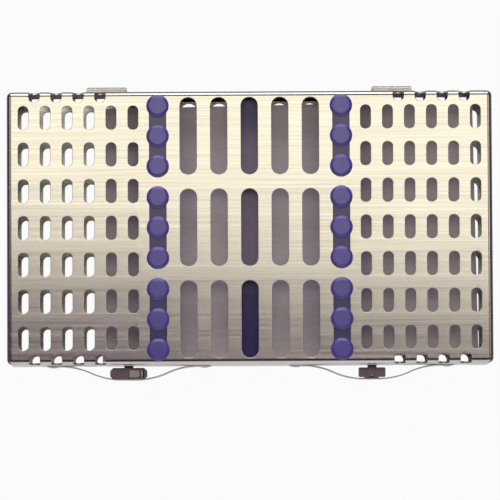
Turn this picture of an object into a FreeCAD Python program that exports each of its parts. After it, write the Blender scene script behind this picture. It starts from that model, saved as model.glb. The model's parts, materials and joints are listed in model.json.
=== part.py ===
import FreeCAD, Part
import math
import os
import Sketcher

# Perforated steel cassette for small surgical instruments, lying flat with its lid shut.
# X runs along the cassette, Y from the latches to the hinges, Z up out of the lid.
# Z = 0 is the plane of the silicone heads under the base, on which the cassette rests.

SIZES = {
    # steel box
    "length": 203.2,
    "width": 114.3,
    "box_height": 29.75,
    "parting_height": 18.0,
    "parting_gap": 0.3,
    "sheet": 0.9,
    "bend_radius": 2.0,
    "corner_radius": 2.2,
    # small slots
    "slot_width": 4.5,
    "slot_length": 10.2,
    "slot_side_margin": 6.9,
    "slot_pitch_x": 9.2,
    "slot_end_margin": 5.85,
    "slot_columns": 6,
    "slot_rows": 7,
    # long slots
    "long_width": 7.0,
    "long_length": 32.4,
    "long_pitch_x": 12.8,
    "long_end_margin": 2.55,
    "long_columns": 7,
    "long_rows": 3,
    # notches over the front and back bends
    "notch_width": 4.5,
    "notch_side_margin": 11.5,
    "notch_pitch": 9.2,
    "notch_reach": 4.5,
    "notch_drop": 6.0,
    "notches": 4,
    # silicone retainers
    "retainer_column": 3,
    "head_diameter": 9.45,
    "head_height": 1.0,
    "heads_per_slot": 3,
    "bar_recess": 0.15,
    "pad_width": 12.0,
    "pad_overhang": 0.35,
    "lid_pad": 2.0,
    "rib_root": 6.0,
    "rib_tip": 3.5,
    "rib_above_card": 0.7,
    "base_pad": 3.0,
    "finger_width": 8.0,
    "finger_below_parting": 1.5,
    "finger_gap": 6.6,
    "gap_above_pad": 1.6,
    # bar and sleeve under the middle column
    "bar_width": 8.0,
    "bar_thickness": 1.2,
    "bar_end_gap": 3.25,
    "bar_above_card": 3.6,
    "hanger_width": 5.6,
    "hanger_length": 4.0,
    "sleeve_width": 12.0,
    "sleeve_wall": 1.3,
    "sleeve_corner": 0.9,
    "sleeve_overhang": 1.2,
    # card
    "card_length": 158.0,
    "card_gap": 2.85,
    "card_thickness": 0.3,
    "card_end_gap": 5.7,
    "card_shift_y": 0.9,
    "card_turn": 1.0,
    # hinges
    "hinge_x": 60.0,
    "leaf_length": 16.0,
    "leaf_height": 7.0,
    "leaf_thickness": 0.8,
    "leaf_start": 2.1,
    "barrel_diameter": 2.6,
    "pin_diameter": 1.2,
    "pin_play": 0.05,
    "pin_head": 2.0,
    "pin_head_length": 0.5,
    "knuckle_gap": 0.3,
    "hinge_gap": 0.3,
    # latches
    "latch_x": 51.0,
    "spring_reach": 6.1,
    "spring_thickness": 0.6,
    "spring_width": 9.0,
    "spring_below_parting": 1.4,
    "spring_flat": 6.4,
    "spring_half": 29.0,
    "spring_foot": 5.5,
    "rivet_from_end": 2.75,
    "rivet_diameter": 2.0,
    "rivet_play": 0.3,
    "rivet_head": 3.8,
    "rivet_head_height": 0.45,
    "tongue_above_parting": 2.6,
    "tongue_thickness": 1.0,
    "tongue_width": 11.3,
    "neck_width": 3.8,
    "neck_standoff": 0.25,
    "shoulder_standoff": 1.4,
    "tongue_corner": 0.7,
    "tab_width": 6.0,
    "tab_thickness": 0.8,
    "tab_above_spring": 1.0,
    "tongue_notch": 1.8,
    "window_play": 0.4,
    "grip_width": 15.5,
    "grip_roof": 1.6,
    "grip_corner": 1.2,
    "grip_window_width": 6.5,
    "grip_window_depth": 3.0,
    "grip_window_sink": 0.9,
    # fits
    "fit": 0.05,
}

# Slots, heads and rivets repeat, so their round outlines are drawn with a few flats.
END_FLAT = 0.25
END_RISE = 0.433
HEAD_SIDES = 12
RIVET_SIDES = 12
KNUCKLES = 5
OVERRUN = 1.0

doc = FreeCAD.newDocument("InstrumentCassette")
sheet = doc.addObject("Spreadsheet::Sheet", "Sizes")
for row, (alias, number) in enumerate(SIZES.items(), start=1):
    sheet.set(f"A{row}", alias)
    sheet.set(f"B{row}", str(number))
    sheet.setAlias(f"B{row}", alias)
doc.recompute()

# Places that several pieces share, as expressions on the sheet.
HINGE_REACH = "(Sizes.hinge_gap + Sizes.barrel_diameter)"
Y_SHIFT = f"((Sizes.spring_reach - {HINGE_REACH}) / 2)"
FRONT = f"({Y_SHIFT} - Sizes.width / 2)"
LID_TOP = "(Sizes.head_height + Sizes.box_height)"
BASE_DEPTH = "(Sizes.parting_height - Sizes.parting_gap / 2 - Sizes.head_height)"
LID_DEPTH = f"({LID_TOP} - Sizes.parting_height - Sizes.parting_gap / 2)"
LID_INNER = f"({LID_TOP} - Sizes.sheet)"
LONG_PITCH_Y = "((Sizes.width - 2 * Sizes.long_end_margin - Sizes.long_length) / (Sizes.long_rows - 1))"
SLOT_PITCH_Y = "((Sizes.width - 2 * Sizes.slot_end_margin - Sizes.slot_length) / (Sizes.slot_rows - 1))"
SLOT_FIRST = "(Sizes.length / 2 - Sizes.slot_side_margin - Sizes.slot_pitch_x * (Sizes.slot_columns - 1))"
NOTCH_FIRST = "(Sizes.length / 2 - Sizes.notch_side_margin - Sizes.notch_pitch * (Sizes.notches - 1))"
HEAD_PITCH = "((Sizes.long_length - Sizes.long_width) / (Sizes.heads_per_slot - 1))"
RETAINER_X = "(Sizes.retainer_column * Sizes.long_pitch_x)"
SLOT_FIELD = "(Sizes.width - 2 * Sizes.long_end_margin)"
PAD_LENGTH = f"({SLOT_FIELD} + 2 * Sizes.pad_overhang)"
FINGER_TOP = "(Sizes.parting_height - Sizes.finger_below_parting)"
GAP_BOTTOM = "(Sizes.head_height + Sizes.sheet + Sizes.base_pad + Sizes.gap_above_pad)"
CARD_TOP = f"({FINGER_TOP} + Sizes.card_thickness)"
CARD_DEPTH = "(Sizes.width - 2 * Sizes.sheet - 2 * Sizes.card_gap)"
CARD_SHIFT = "((Sizes.length - Sizes.card_length) / 2 - Sizes.sheet - Sizes.card_end_gap)"
BAR_BOTTOM = f"({CARD_TOP} + Sizes.bar_above_card)"
BAR_LENGTH = "(Sizes.width - 2 * Sizes.sheet - 2 * Sizes.bar_end_gap)"
SLEEVE_LENGTH = f"({BAR_LENGTH} + 2 * Sizes.sleeve_overhang)"
AXIS_DROP = "(Sizes.hinge_gap + Sizes.barrel_diameter / 2)"
AXIS_Y = f"({Y_SHIFT} + Sizes.width / 2 + {AXIS_DROP})"
KNUCKLE = f"((Sizes.leaf_length - {KNUCKLES - 1} * Sizes.knuckle_gap) / {KNUCKLES})"
TAB_OUTER = "(Sizes.spring_reach - Sizes.spring_thickness - Sizes.fit)"
RIVET_X = "(Sizes.spring_half + Sizes.rivet_from_end)"
SPRING_BOTTOM = "(Sizes.parting_height - Sizes.spring_below_parting - Sizes.spring_width)"
TONGUE_BOTTOM = "(Sizes.parting_height + Sizes.tongue_above_parting)"
TAB_DROP = f"({TONGUE_BOTTOM} - {SPRING_BOTTOM} - Sizes.tab_above_spring)"
RIVET_Z = f"({SPRING_BOTTOM} + Sizes.spring_width / 2)"

ORIGIN_POINT = (-1, 1)
SUB_PARTS = []


def value(expression):
    """The number that an expression on the sheet gives."""
    result = sheet.evalExpression(expression)
    return float(getattr(result, "Value", result))


def keep(feature, label, x="0", y=Y_SHIFT, z="0", turn=None):
    """Name a finished sub-part and bind its place."""
    feature.Label = label
    if turn:
        axis, angle = turn
        feature.Placement = FreeCAD.Placement(FreeCAD.Vector(), FreeCAD.Rotation(axis, angle))
    feature.setExpression("Placement.Base.x", x)
    feature.setExpression("Placement.Base.y", y)
    feature.setExpression("Placement.Base.z", z)
    SUB_PARTS.append(feature)
    return feature


def datum(body, role):
    """A plane or axis of the body's own origin."""
    return next(item for item in body.Origin.OriginFeatures if item.Role == role)


def sketch_on(body, name, role, offset="0"):
    """A sketch on an origin plane of its body, moved along the plane's normal."""
    sketch = body.newObject("Sketcher::SketchObject", name)
    sketch.AttachmentSupport = [(datum(body, role), "")]
    sketch.MapMode = "FlatFace"
    sketch.setExpression("AttachmentOffset.Base.z", offset)
    return sketch


def bind(sketch, kind, *place, to):
    """Add a dimension and bind it to an expression."""
    index = sketch.addConstraint(Sketcher.Constraint(kind, *place, value(to)))
    sketch.setExpression(f"Constraints[{index}]", to)


def arc_between(start, end, radius, left):
    """Arc from start to end whose centre lies left (or right) of the way from one to the other."""
    chord = end - start
    normal = FreeCAD.Vector(-chord.y, chord.x, 0).normalize()
    depth = math.sqrt(radius ** 2 - (chord.Length / 2) ** 2)
    centre = (start + end) * 0.5 + normal * (depth if left else -depth)
    first, last = (start, end) if left else (end, start)
    angles = [math.atan2(point.y - centre.y, point.x - centre.x) for point in (first, last)]
    if angles[1] < angles[0]:
        angles[1] += 2 * math.pi
    circle = Part.Circle(centre, FreeCAD.Vector(0, 0, 1), radius)
    return Part.ArcOfCircle(circle, *angles)


def draw(sketch, corners, arcs=None):
    """A closed outline through corners given as pairs of expressions.

    arcs maps the number of an edge to its radius and to whether its centre lies left of it.
    """
    arcs = arcs or {}
    places = [FreeCAD.Vector(value(x), value(y), 0) for x, y in corners]
    first = sketch.GeometryCount
    starts = []
    ends = []
    for number, start in enumerate(places):
        end = places[(number + 1) % len(places)]
        backwards = False
        if number in arcs:
            radius, left = arcs[number]
            sketch.addGeometry(arc_between(start, end, value(radius), left), False)
            backwards = not left
        else:
            sketch.addGeometry(Part.LineSegment(start, end), False)
        starts.append((first + number, 2 if backwards else 1))
        ends.append((first + number, 1 if backwards else 2))
    for number, (x, y) in enumerate(corners):
        sketch.addConstraint(Sketcher.Constraint("Coincident", *ends[number - 1], *starts[number]))
        bind(sketch, "DistanceX", *ORIGIN_POINT, *starts[number], to=x)
        bind(sketch, "DistanceY", *ORIGIN_POINT, *starts[number], to=y)
    for number, (radius, left) in arcs.items():
        bind(sketch, "Radius", first + number, to=radius)


def rectangle(x_low, x_high, y_low, y_high):
    return [(x_low, y_low), (x_high, y_low), (x_high, y_high), (x_low, y_high)]


def centred(width, depth):
    return rectangle(f"-{width} / 2", f"{width} / 2", f"-{depth} / 2", f"{depth} / 2")


def slot(x, y, width, length):
    """Corners of an upright slot with an end of three flats at both ends."""
    turns = ((-1, -1, END_FLAT), (1, -1, END_FLAT), (1, -1, 0.5), (1, 1, 0.5),
             (1, 1, END_FLAT), (-1, 1, END_FLAT), (-1, 1, 0.5), (-1, -1, 0.5))
    corners = []
    for across, along, share in turns:
        rise = END_RISE if share == 0.5 else 0
        corners.append((f"{x} + {across * share} * {width}",
                        f"{y} + {along} * ({length} / 2 - {rise} * {width})"))
    return corners


def notch(x, width, edge, end):
    """Corners of a notch from beyond an edge at y = edge to its end of three flats at y = end."""
    return [
        (f"{x} - 0.5 * {width}", edge),
        (f"{x} + 0.5 * {width}", edge),
        (f"{x} + 0.5 * {width}", f"{end} - {END_RISE} * {width}"),
        (f"{x} + {END_FLAT} * {width}", end),
        (f"{x} - {END_FLAT} * {width}", end),
        (f"{x} - 0.5 * {width}", f"{end} - {END_RISE} * {width}"),
    ]


def polygon(x, y, diameter, sides):
    corners = []
    for number in range(sides):
        angle = 360 * (number + 0.5) / sides
        along = round(math.cos(math.radians(angle)) / 2, 5)
        across = round(math.sin(math.radians(angle)) / 2, 5)
        corners.append((f"{x} + {along} * {diameter}", f"{y} + {across} * {diameter}"))
    return corners


def circle(sketch, diameter, x=None, y=None):
    """A circle at the sketch's origin, or at x and y."""
    centre = FreeCAD.Vector(value(x or "0"), value(y or "0"), 0)
    number = sketch.addGeometry(Part.Circle(centre, FreeCAD.Vector(0, 0, 1), value(diameter) / 2), False)
    if x is None:
        sketch.addConstraint(Sketcher.Constraint("Coincident", number, 3, *ORIGIN_POINT))
    else:
        bind(sketch, "DistanceX", *ORIGIN_POINT, number, 3, to=x)
        bind(sketch, "DistanceY", *ORIGIN_POINT, number, 3, to=y)
    bind(sketch, "Diameter", number, to=diameter)


def extrude(body, kind, sketch, length, reverse=False):
    """A Pad or Pocket of a sketch."""
    feature = body.newObject(f"PartDesign::{kind}", f"{sketch.Name}{kind}")
    feature.Profile = sketch
    feature.setExpression("Length", length)
    feature.Reversed = reverse
    feature.Refine = False
    doc.recompute()
    return feature


def repeat(body, features, name, rows=(), mirrors=()):
    """Repeat features along axes, each row with its pitch and count, and mirror the result."""
    pattern = body.newObject("PartDesign::MultiTransform", name)
    pattern.Originals = features
    pattern.Refine = False
    steps = []
    for role, pitch, count in rows:
        line = doc.addObject("PartDesign::LinearPattern", f"{name}{role[0]}")
        line.Direction = (datum(body, role), [""])
        line.setExpression("Length", f"{pitch} * ({count} - 1)")
        line.setExpression("Occurrences", count)
        steps.append(line)
    for role in mirrors:
        mirror = doc.addObject("PartDesign::Mirrored", f"{name}{role[:2]}")
        mirror.MirrorPlane = (datum(body, role), [""])
        steps.append(mirror)
    pattern.Transformations = steps
    body.Tip = pattern
    doc.recompute()
    return pattern


def cut_checked(pattern, before):
    """A cut that points away from the solid removes nothing, so its volume is compared."""
    if not pattern.Shape.Volume < before.Shape.Volume:
        raise ValueError(f"{pattern.Name} removes nothing")


def round_edges(body, base, radius, chosen, name):
    """Fillet the edges of the feature base for which chosen(edge) is true."""
    names = [f"Edge{n}" for n, edge in enumerate(base.Shape.Edges, start=1) if chosen(edge)]
    fillet = body.newObject("PartDesign::Fillet", name)
    fillet.Base = (base, names)
    fillet.setExpression("Radius", radius)
    doc.recompute()
    return fillet


def is_upright(edge):
    first, last = edge.Vertexes[0].Point, edge.Vertexes[-1].Point
    return abs(first.z - last.z) > 0.5 and (first - last).Length - abs(first.z - last.z) < 1e-6


def lies_at(height):
    return lambda edge: all(abs(vertex.Z - height) < 1e-6 for vertex in edge.Vertexes)


def pan(name, depth):
    """Open box of bent sheet, notched over its front and back bends, with its plate's outer face at z = 0."""
    body = doc.addObject("PartDesign::Body", name)
    outline = sketch_on(body, f"{name}Outline", "XY_Plane")
    draw(outline, centred("Sizes.length", "Sizes.width"))
    block = extrude(body, "Pad", outline, depth)
    corners = round_edges(body, block, "Sizes.corner_radius", is_upright, f"{name}Corners")
    bends = round_edges(body, corners, "Sizes.bend_radius", lies_at(0), f"{name}Bends")
    top = value(depth)
    mouth = [f"Face{n}" for n, face in enumerate(bends.Shape.Faces, start=1)
             if abs(face.CenterOfMass.z - top) < 1e-6]
    shell = body.newObject("PartDesign::Thickness", f"{name}Shell")
    shell.Base = (bends, mouth)
    shell.Reversed = True
    shell.setExpression("Value", "Sizes.sheet")
    doc.recompute()

    plate_notch = sketch_on(body, f"{name}PlateNotch", "XY_Plane")
    draw(plate_notch, notch(NOTCH_FIRST, "Sizes.notch_width",
                            f"-Sizes.width / 2 - {OVERRUN}", "-Sizes.width / 2 + Sizes.notch_reach"))
    plate_cut = extrude(body, "Pocket", plate_notch, "Sizes.bend_radius", reverse=True)
    wall_notch = sketch_on(body, f"{name}WallNotch", "XZ_Plane", "Sizes.width / 2")
    draw(wall_notch, notch(NOTCH_FIRST, "Sizes.notch_width", f"-{OVERRUN}", "Sizes.notch_drop"))
    wall_cut = extrude(body, "Pocket", wall_notch, "Sizes.bend_radius")
    notches = repeat(body, [plate_cut, wall_cut], f"{name}Notches",
                     [("X_Axis", "Sizes.notch_pitch", "Sizes.notches")], ["YZ_Plane", "XZ_Plane"])
    cut_checked(notches, shell)
    return body


def perforate(body):
    """Cut the long slots and the two fields of small slots through the plate of a pan."""
    name = body.Name
    whole = body.Tip
    long = sketch_on(body, f"{name}LongSlot", "XY_Plane")
    draw(long, slot("-Sizes.long_pitch_x * (Sizes.long_columns - 1) / 2",
                    f"-{LONG_PITCH_Y} * (Sizes.long_rows - 1) / 2",
                    "Sizes.long_width", "Sizes.long_length"))
    long_cut = extrude(body, "Pocket", long, "2 * Sizes.sheet", reverse=True)
    long_all = repeat(body, [long_cut], f"{name}LongSlots",
                      [("X_Axis", "Sizes.long_pitch_x", "Sizes.long_columns"),
                       ("Y_Axis", LONG_PITCH_Y, "Sizes.long_rows")])
    cut_checked(long_all, whole)

    small = sketch_on(body, f"{name}SmallSlot", "XY_Plane")
    draw(small, slot(SLOT_FIRST, f"-{SLOT_PITCH_Y} * (Sizes.slot_rows - 1) / 2",
                     "Sizes.slot_width", "Sizes.slot_length"))
    small_cut = extrude(body, "Pocket", small, "2 * Sizes.sheet", reverse=True)
    small_all = repeat(body, [small_cut], f"{name}SmallSlots",
                       [("X_Axis", "Sizes.slot_pitch_x", "Sizes.slot_columns"),
                        ("Y_Axis", SLOT_PITCH_Y, "Sizes.slot_rows")], ["YZ_Plane"])
    cut_checked(small_all, long_all)


def base_tray():
    """Lower pan, with the holes of the latch springs' rivets in its front wall."""
    body = pan("BaseTray", BASE_DEPTH)
    hole = sketch_on(body, "RivetHole", "XZ_Plane", "Sizes.width / 2")
    circle(hole, "(Sizes.rivet_diameter + 2 * Sizes.fit)",
           f"Sizes.latch_x - {RIVET_X}", f"{RIVET_Z} - Sizes.head_height")
    drilled = extrude(body, "Pocket", hole, "2 * Sizes.sheet")
    repeat(body, [drilled], "RivetHoles", [("X_Axis", f"2 * {RIVET_X}", "2")], ["YZ_Plane"])
    perforate(body)
    keep(body, "base_tray", z="Sizes.head_height")


def lid_shell():
    """Upper pan, turned over, with a window in its front wall for each latch tongue."""
    body = pan("LidShell", LID_DEPTH)
    half = "(Sizes.neck_width / 2 + Sizes.window_play)"
    low = f"({LID_TOP} - {TONGUE_BOTTOM} - Sizes.tongue_thickness - Sizes.window_play)"
    high = f"({LID_TOP} - {TONGUE_BOTTOM} + Sizes.window_play)"
    window = sketch_on(body, "TongueWindow", "XZ_Plane", "Sizes.width / 2")
    draw(window, rectangle(f"Sizes.latch_x - {half}", f"Sizes.latch_x + {half}", low, high))
    opened = extrude(body, "Pocket", window, "2 * Sizes.sheet")
    repeat(body, [opened], "TongueWindows", mirrors=["YZ_Plane"])
    perforate(body)
    keep(body, "lid_shell", z=LID_TOP, turn=(FreeCAD.Vector(0, 1, 0), 180))


def retainer(name, pad_thickness):
    """Silicone strip on the inner face of a plate at z = 0, with its bars and heads in the long slots."""
    body = doc.addObject("PartDesign::Body", name)
    pad = sketch_on(body, f"{name}Strip", "XY_Plane", "Sizes.sheet")
    draw(pad, centred("Sizes.pad_width", PAD_LENGTH))
    extrude(body, "Pad", pad, pad_thickness)

    first_row = f"-{LONG_PITCH_Y} * (Sizes.long_rows - 1) / 2"
    bar = sketch_on(body, f"{name}Bar", "XY_Plane", "Sizes.bar_recess")
    draw(bar, slot("0", first_row, "(Sizes.long_width - 2 * Sizes.fit)",
                   "(Sizes.long_length - 2 * Sizes.fit)"))
    bar_pad = extrude(body, "Pad", bar, "Sizes.sheet - Sizes.bar_recess")
    repeat(body, [bar_pad], f"{name}Bars", [("Y_Axis", LONG_PITCH_Y, "Sizes.long_rows")])

    first_head = f"{first_row} - {HEAD_PITCH} * (Sizes.heads_per_slot - 1) / 2"
    stem = sketch_on(body, f"{name}Stem", "XY_Plane")
    draw(stem, polygon("0", first_head, "(Sizes.long_width - 2 * Sizes.fit)", HEAD_SIDES))
    stem_pad = extrude(body, "Pad", stem, "Sizes.sheet")
    head = sketch_on(body, f"{name}Head", "XY_Plane")
    draw(head, polygon("0", first_head, "Sizes.head_diameter", HEAD_SIDES))
    head_pad = extrude(body, "Pad", head, "Sizes.head_height", reverse=True)
    repeat(body, [stem_pad, head_pad], f"{name}Heads",
           [("Y_Axis", HEAD_PITCH, "Sizes.heads_per_slot"),
            ("Y_Axis", LONG_PITCH_Y, "Sizes.long_rows")])
    return body


def base_rail(side, sign):
    """Retainer of the base, with a comb of fingers that the instruments lie between."""
    name = f"BaseRail{side}"
    body = retainer(name, "Sizes.base_pad")
    root = "(Sizes.sheet + Sizes.base_pad)"
    top = f"({FINGER_TOP} - Sizes.head_height)"
    comb = sketch_on(body, f"{name}Comb", "XY_Plane", root)
    draw(comb, centred("Sizes.finger_width", PAD_LENGTH))
    block = extrude(body, "Pad", comb, f"{top} - {root}")
    gap_pitch = f"({LONG_PITCH_Y} / Sizes.heads_per_slot)"
    gap_count = "(Sizes.long_rows * Sizes.heads_per_slot - 1)"
    gap = sketch_on(body, f"{name}Gap", "YZ_Plane", f"-Sizes.finger_width / 2 - {OVERRUN}")
    draw(gap, [(across, f"-({height})") for across, height in notch(
        f"-{gap_pitch} * ({gap_count} - 1) / 2", "Sizes.finger_gap",
        f"-{top} - {OVERRUN}", f"-({GAP_BOTTOM} - Sizes.head_height)")])
    gap_cut = extrude(body, "Pocket", gap, f"Sizes.finger_width + 2 * {OVERRUN}", reverse=True)
    gaps = repeat(body, [gap_cut], f"{name}Gaps", [("Y_Axis", gap_pitch, gap_count)])
    cut_checked(gaps, block)
    keep(body, f"base_rail_{side.lower()}", x=f"{sign} * {RETAINER_X}", z="Sizes.head_height")


def lid_strip(side, sign):
    """Retainer of the lid, with a tapered rib that holds the instruments down."""
    name = f"LidStrip{side}"
    body = retainer(name, "Sizes.lid_pad")
    root = "(Sizes.sheet + Sizes.lid_pad)"
    tip = f"({LID_TOP} - {CARD_TOP} - Sizes.rib_above_card)"
    rib = sketch_on(body, f"{name}Rib", "XZ_Plane", f"{PAD_LENGTH} / 2")
    draw(rib, [("-Sizes.rib_root / 2", root), ("Sizes.rib_root / 2", root),
               ("Sizes.rib_tip / 2", tip), ("-Sizes.rib_tip / 2", tip)])
    extrude(body, "Pad", rib, PAD_LENGTH, reverse=True)
    keep(body, f"lid_strip_{side.lower()}", x=f"{sign} * {RETAINER_X}", z=LID_TOP,
         turn=(FreeCAD.Vector(0, 1, 0), 180))


def box(name, x, y, z, length, width, height):
    """Block whose lowest corner and sides are expressions."""
    block = doc.addObject("Part::Box", name)
    for place, expression in (("Placement.Base.x", x), ("Placement.Base.y", y), ("Placement.Base.z", z),
                              ("Length", length), ("Width", width), ("Height", height)):
        block.setExpression(place, expression)
    return block


def centre_bar():
    """Flat steel bar under the middle column, hung from the lid's two cross webs."""
    strip = box("BarStrip", "-Sizes.bar_width / 2", f"-{BAR_LENGTH} / 2", BAR_BOTTOM,
                "Sizes.bar_width", BAR_LENGTH, "Sizes.bar_thickness")
    hangers = []
    for name, sign in (("Front", -1), ("Back", 1)):
        hangers.append(box(f"Hanger{name}", "-Sizes.hanger_width / 2",
                           f"{sign} * {LONG_PITCH_Y} / 2 - Sizes.hanger_length / 2", BAR_BOTTOM,
                           "Sizes.hanger_width", "Sizes.hanger_length", f"{LID_INNER} - {BAR_BOTTOM}"))
    fused = doc.addObject("Part::MultiFuse", "CentreBar")
    fused.Shapes = [strip, *hangers]
    keep(fused, "centre_bar")


def centre_sleeve():
    """Silicone sleeve round the bar, with an opening on top for each hanger."""
    body = doc.addObject("PartDesign::Body", "CentreSleeve")
    half = "(Sizes.sleeve_width / 2)"
    inset = f"({half} - Sizes.sleeve_corner)"
    low = "-(Sizes.sleeve_wall + Sizes.fit)"
    high = "(Sizes.bar_thickness + Sizes.sleeve_wall + Sizes.fit)"
    outer = sketch_on(body, "SleeveOutline", "XZ_Plane", f"{SLEEVE_LENGTH} / 2")
    draw(outer, [(f"-{inset}", low), (inset, low), (half, f"{low} + Sizes.sleeve_corner"),
                 (half, f"{high} - Sizes.sleeve_corner"), (inset, high), (f"-{inset}", high),
                 (f"-{half}", f"{high} - Sizes.sleeve_corner"), (f"-{half}", f"{low} + Sizes.sleeve_corner")])
    solid = extrude(body, "Pad", outer, SLEEVE_LENGTH, reverse=True)
    inner = sketch_on(body, "SleeveCavity", "XZ_Plane", f"{SLEEVE_LENGTH} / 2 + {OVERRUN}")
    draw(inner, rectangle("-Sizes.bar_width / 2 - Sizes.fit", "Sizes.bar_width / 2 + Sizes.fit",
                          "-Sizes.fit", "Sizes.bar_thickness + Sizes.fit"))
    hollow = extrude(body, "Pocket", inner, f"{SLEEVE_LENGTH} + 2 * {OVERRUN}")
    cut_checked(hollow, solid)
    mouth = sketch_on(body, "SleeveMouth", "XY_Plane", "Sizes.bar_thickness")
    draw(mouth, rectangle("-Sizes.hanger_width / 2 - Sizes.fit", "Sizes.hanger_width / 2 + Sizes.fit",
                          f"({LONG_PITCH_Y} - Sizes.hanger_length) / 2 - Sizes.fit",
                          f"({LONG_PITCH_Y} + Sizes.hanger_length) / 2 + Sizes.fit"))
    opened = extrude(body, "Pocket", mouth, "2 * Sizes.sleeve_wall", reverse=True)
    mouths = repeat(body, [opened], "SleeveMouths", mirrors=["XZ_Plane"])
    cut_checked(mouths, hollow)
    keep(body, "centre_sleeve", z=BAR_BOTTOM)


def insert_card():
    """Blank card that lies loose on the fingers, a little askew."""
    body = doc.addObject("PartDesign::Body", "InsertCard")
    outline = sketch_on(body, "CardOutline", "XY_Plane")
    draw(outline, centred("Sizes.card_length", CARD_DEPTH))
    extrude(body, "Pad", outline, "Sizes.card_thickness")
    keep(body, "insert_card", x=CARD_SHIFT, y=f"{Y_SHIFT} - Sizes.card_shift_y", z=FINGER_TOP,
         turn=(FreeCAD.Vector(0, 0, 1), SIZES["card_turn"]))
    body.setExpression("Placement.Rotation.Angle", "Sizes.card_turn")


def hinge_leaf(part, side, sign, up, first, count):
    """Leaf against the back wall with its rolled knuckles; the hinge axis is the body's X axis."""
    name = f"{part}Leaf{side}"
    body = doc.addObject("PartDesign::Body", name)
    wall = f"-{AXIS_DROP}"
    face = f"({wall} + Sizes.leaf_thickness)"
    near = f"{up} * Sizes.leaf_start"
    far = f"{up} * (Sizes.leaf_start + Sizes.leaf_height)"
    plate = sketch_on(body, f"{name}Plate", "YZ_Plane", "-Sizes.leaf_length / 2")
    draw(plate, rectangle(wall, face, near, far))
    extrude(body, "Pad", plate, "Sizes.leaf_length")
    start = f"-Sizes.leaf_length / 2 + {first} * ({KNUCKLE} + Sizes.knuckle_gap)"
    neck = sketch_on(body, f"{name}Neck", "YZ_Plane", start)
    draw(neck, rectangle(wall, face, f"{up} * Sizes.leaf_thickness / 2",
                         f"{up} * (Sizes.leaf_start + Sizes.leaf_thickness)"))
    neck_pad = extrude(body, "Pad", neck, KNUCKLE)
    roll = sketch_on(body, f"{name}Roll", "YZ_Plane", start)
    circle(roll, "Sizes.barrel_diameter")
    roll_pad = extrude(body, "Pad", roll, KNUCKLE)
    knuckles = repeat(body, [neck_pad, roll_pad], f"{name}Knuckles",
                      [("X_Axis", f"2 * ({KNUCKLE} + Sizes.knuckle_gap)", f"{count}")])
    bore = sketch_on(body, f"{name}Bore", "YZ_Plane", f"-Sizes.leaf_length / 2 - {OVERRUN}")
    circle(bore, "(Sizes.pin_diameter + 2 * Sizes.pin_play)")
    bored = extrude(body, "Pocket", bore, f"Sizes.leaf_length + 2 * {OVERRUN}", reverse=True)
    cut_checked(bored, knuckles)
    keep(body, f"hinge_{part.lower()}_leaf_{side.lower()}", x=f"{sign} * Sizes.hinge_x", y=AXIS_Y,
         z="Sizes.parting_height")


def rod(name, start, diameter, length):
    """Cylinder along X whose start, diameter and length are expressions."""
    cylinder = doc.addObject("Part::Cylinder", name)
    cylinder.Placement = FreeCAD.Placement(
        FreeCAD.Vector(), FreeCAD.Rotation(FreeCAD.Vector(0, 0, 1), FreeCAD.Vector(1, 0, 0)))
    cylinder.setExpression("Radius", f"{diameter} / 2")
    cylinder.setExpression("Height", length)
    cylinder.setExpression("Placement.Base.x", start)
    return cylinder


def stub(name, start, diameter, length):
    """Prism along Y whose start, diameter and length are expressions, for a piece of a rivet."""
    prism = doc.addObject("Part::Prism", name)
    prism.Polygon = RIVET_SIDES
    prism.Placement = FreeCAD.Placement(
        FreeCAD.Vector(), FreeCAD.Rotation(FreeCAD.Vector(0, 0, 1), FreeCAD.Vector(0, 1, 0)))
    prism.setExpression("Circumradius", f"{diameter} / 2")
    prism.setExpression("Height", length)
    prism.setExpression("Placement.Base.y", start)
    return prism


def hinge_pin(side, sign):
    """Pin through the five knuckles, headed at both ends."""
    name = f"Pin{side}"
    half = "Sizes.leaf_length / 2"
    shank = rod(f"{name}Shank", f"-{half}", "Sizes.pin_diameter", "Sizes.leaf_length")
    first = rod(f"{name}First", f"-{half} - Sizes.pin_head_length", "Sizes.pin_head",
                "Sizes.pin_head_length")
    last = rod(f"{name}Last", half, "Sizes.pin_head", "Sizes.pin_head_length")
    fused = doc.addObject("Part::MultiFuse", name)
    fused.Shapes = [shank, first, last]
    keep(fused, f"hinge_pin_{side.lower()}", x=f"{sign} * Sizes.hinge_x", y=AXIS_Y, z="Sizes.parting_height")


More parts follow.
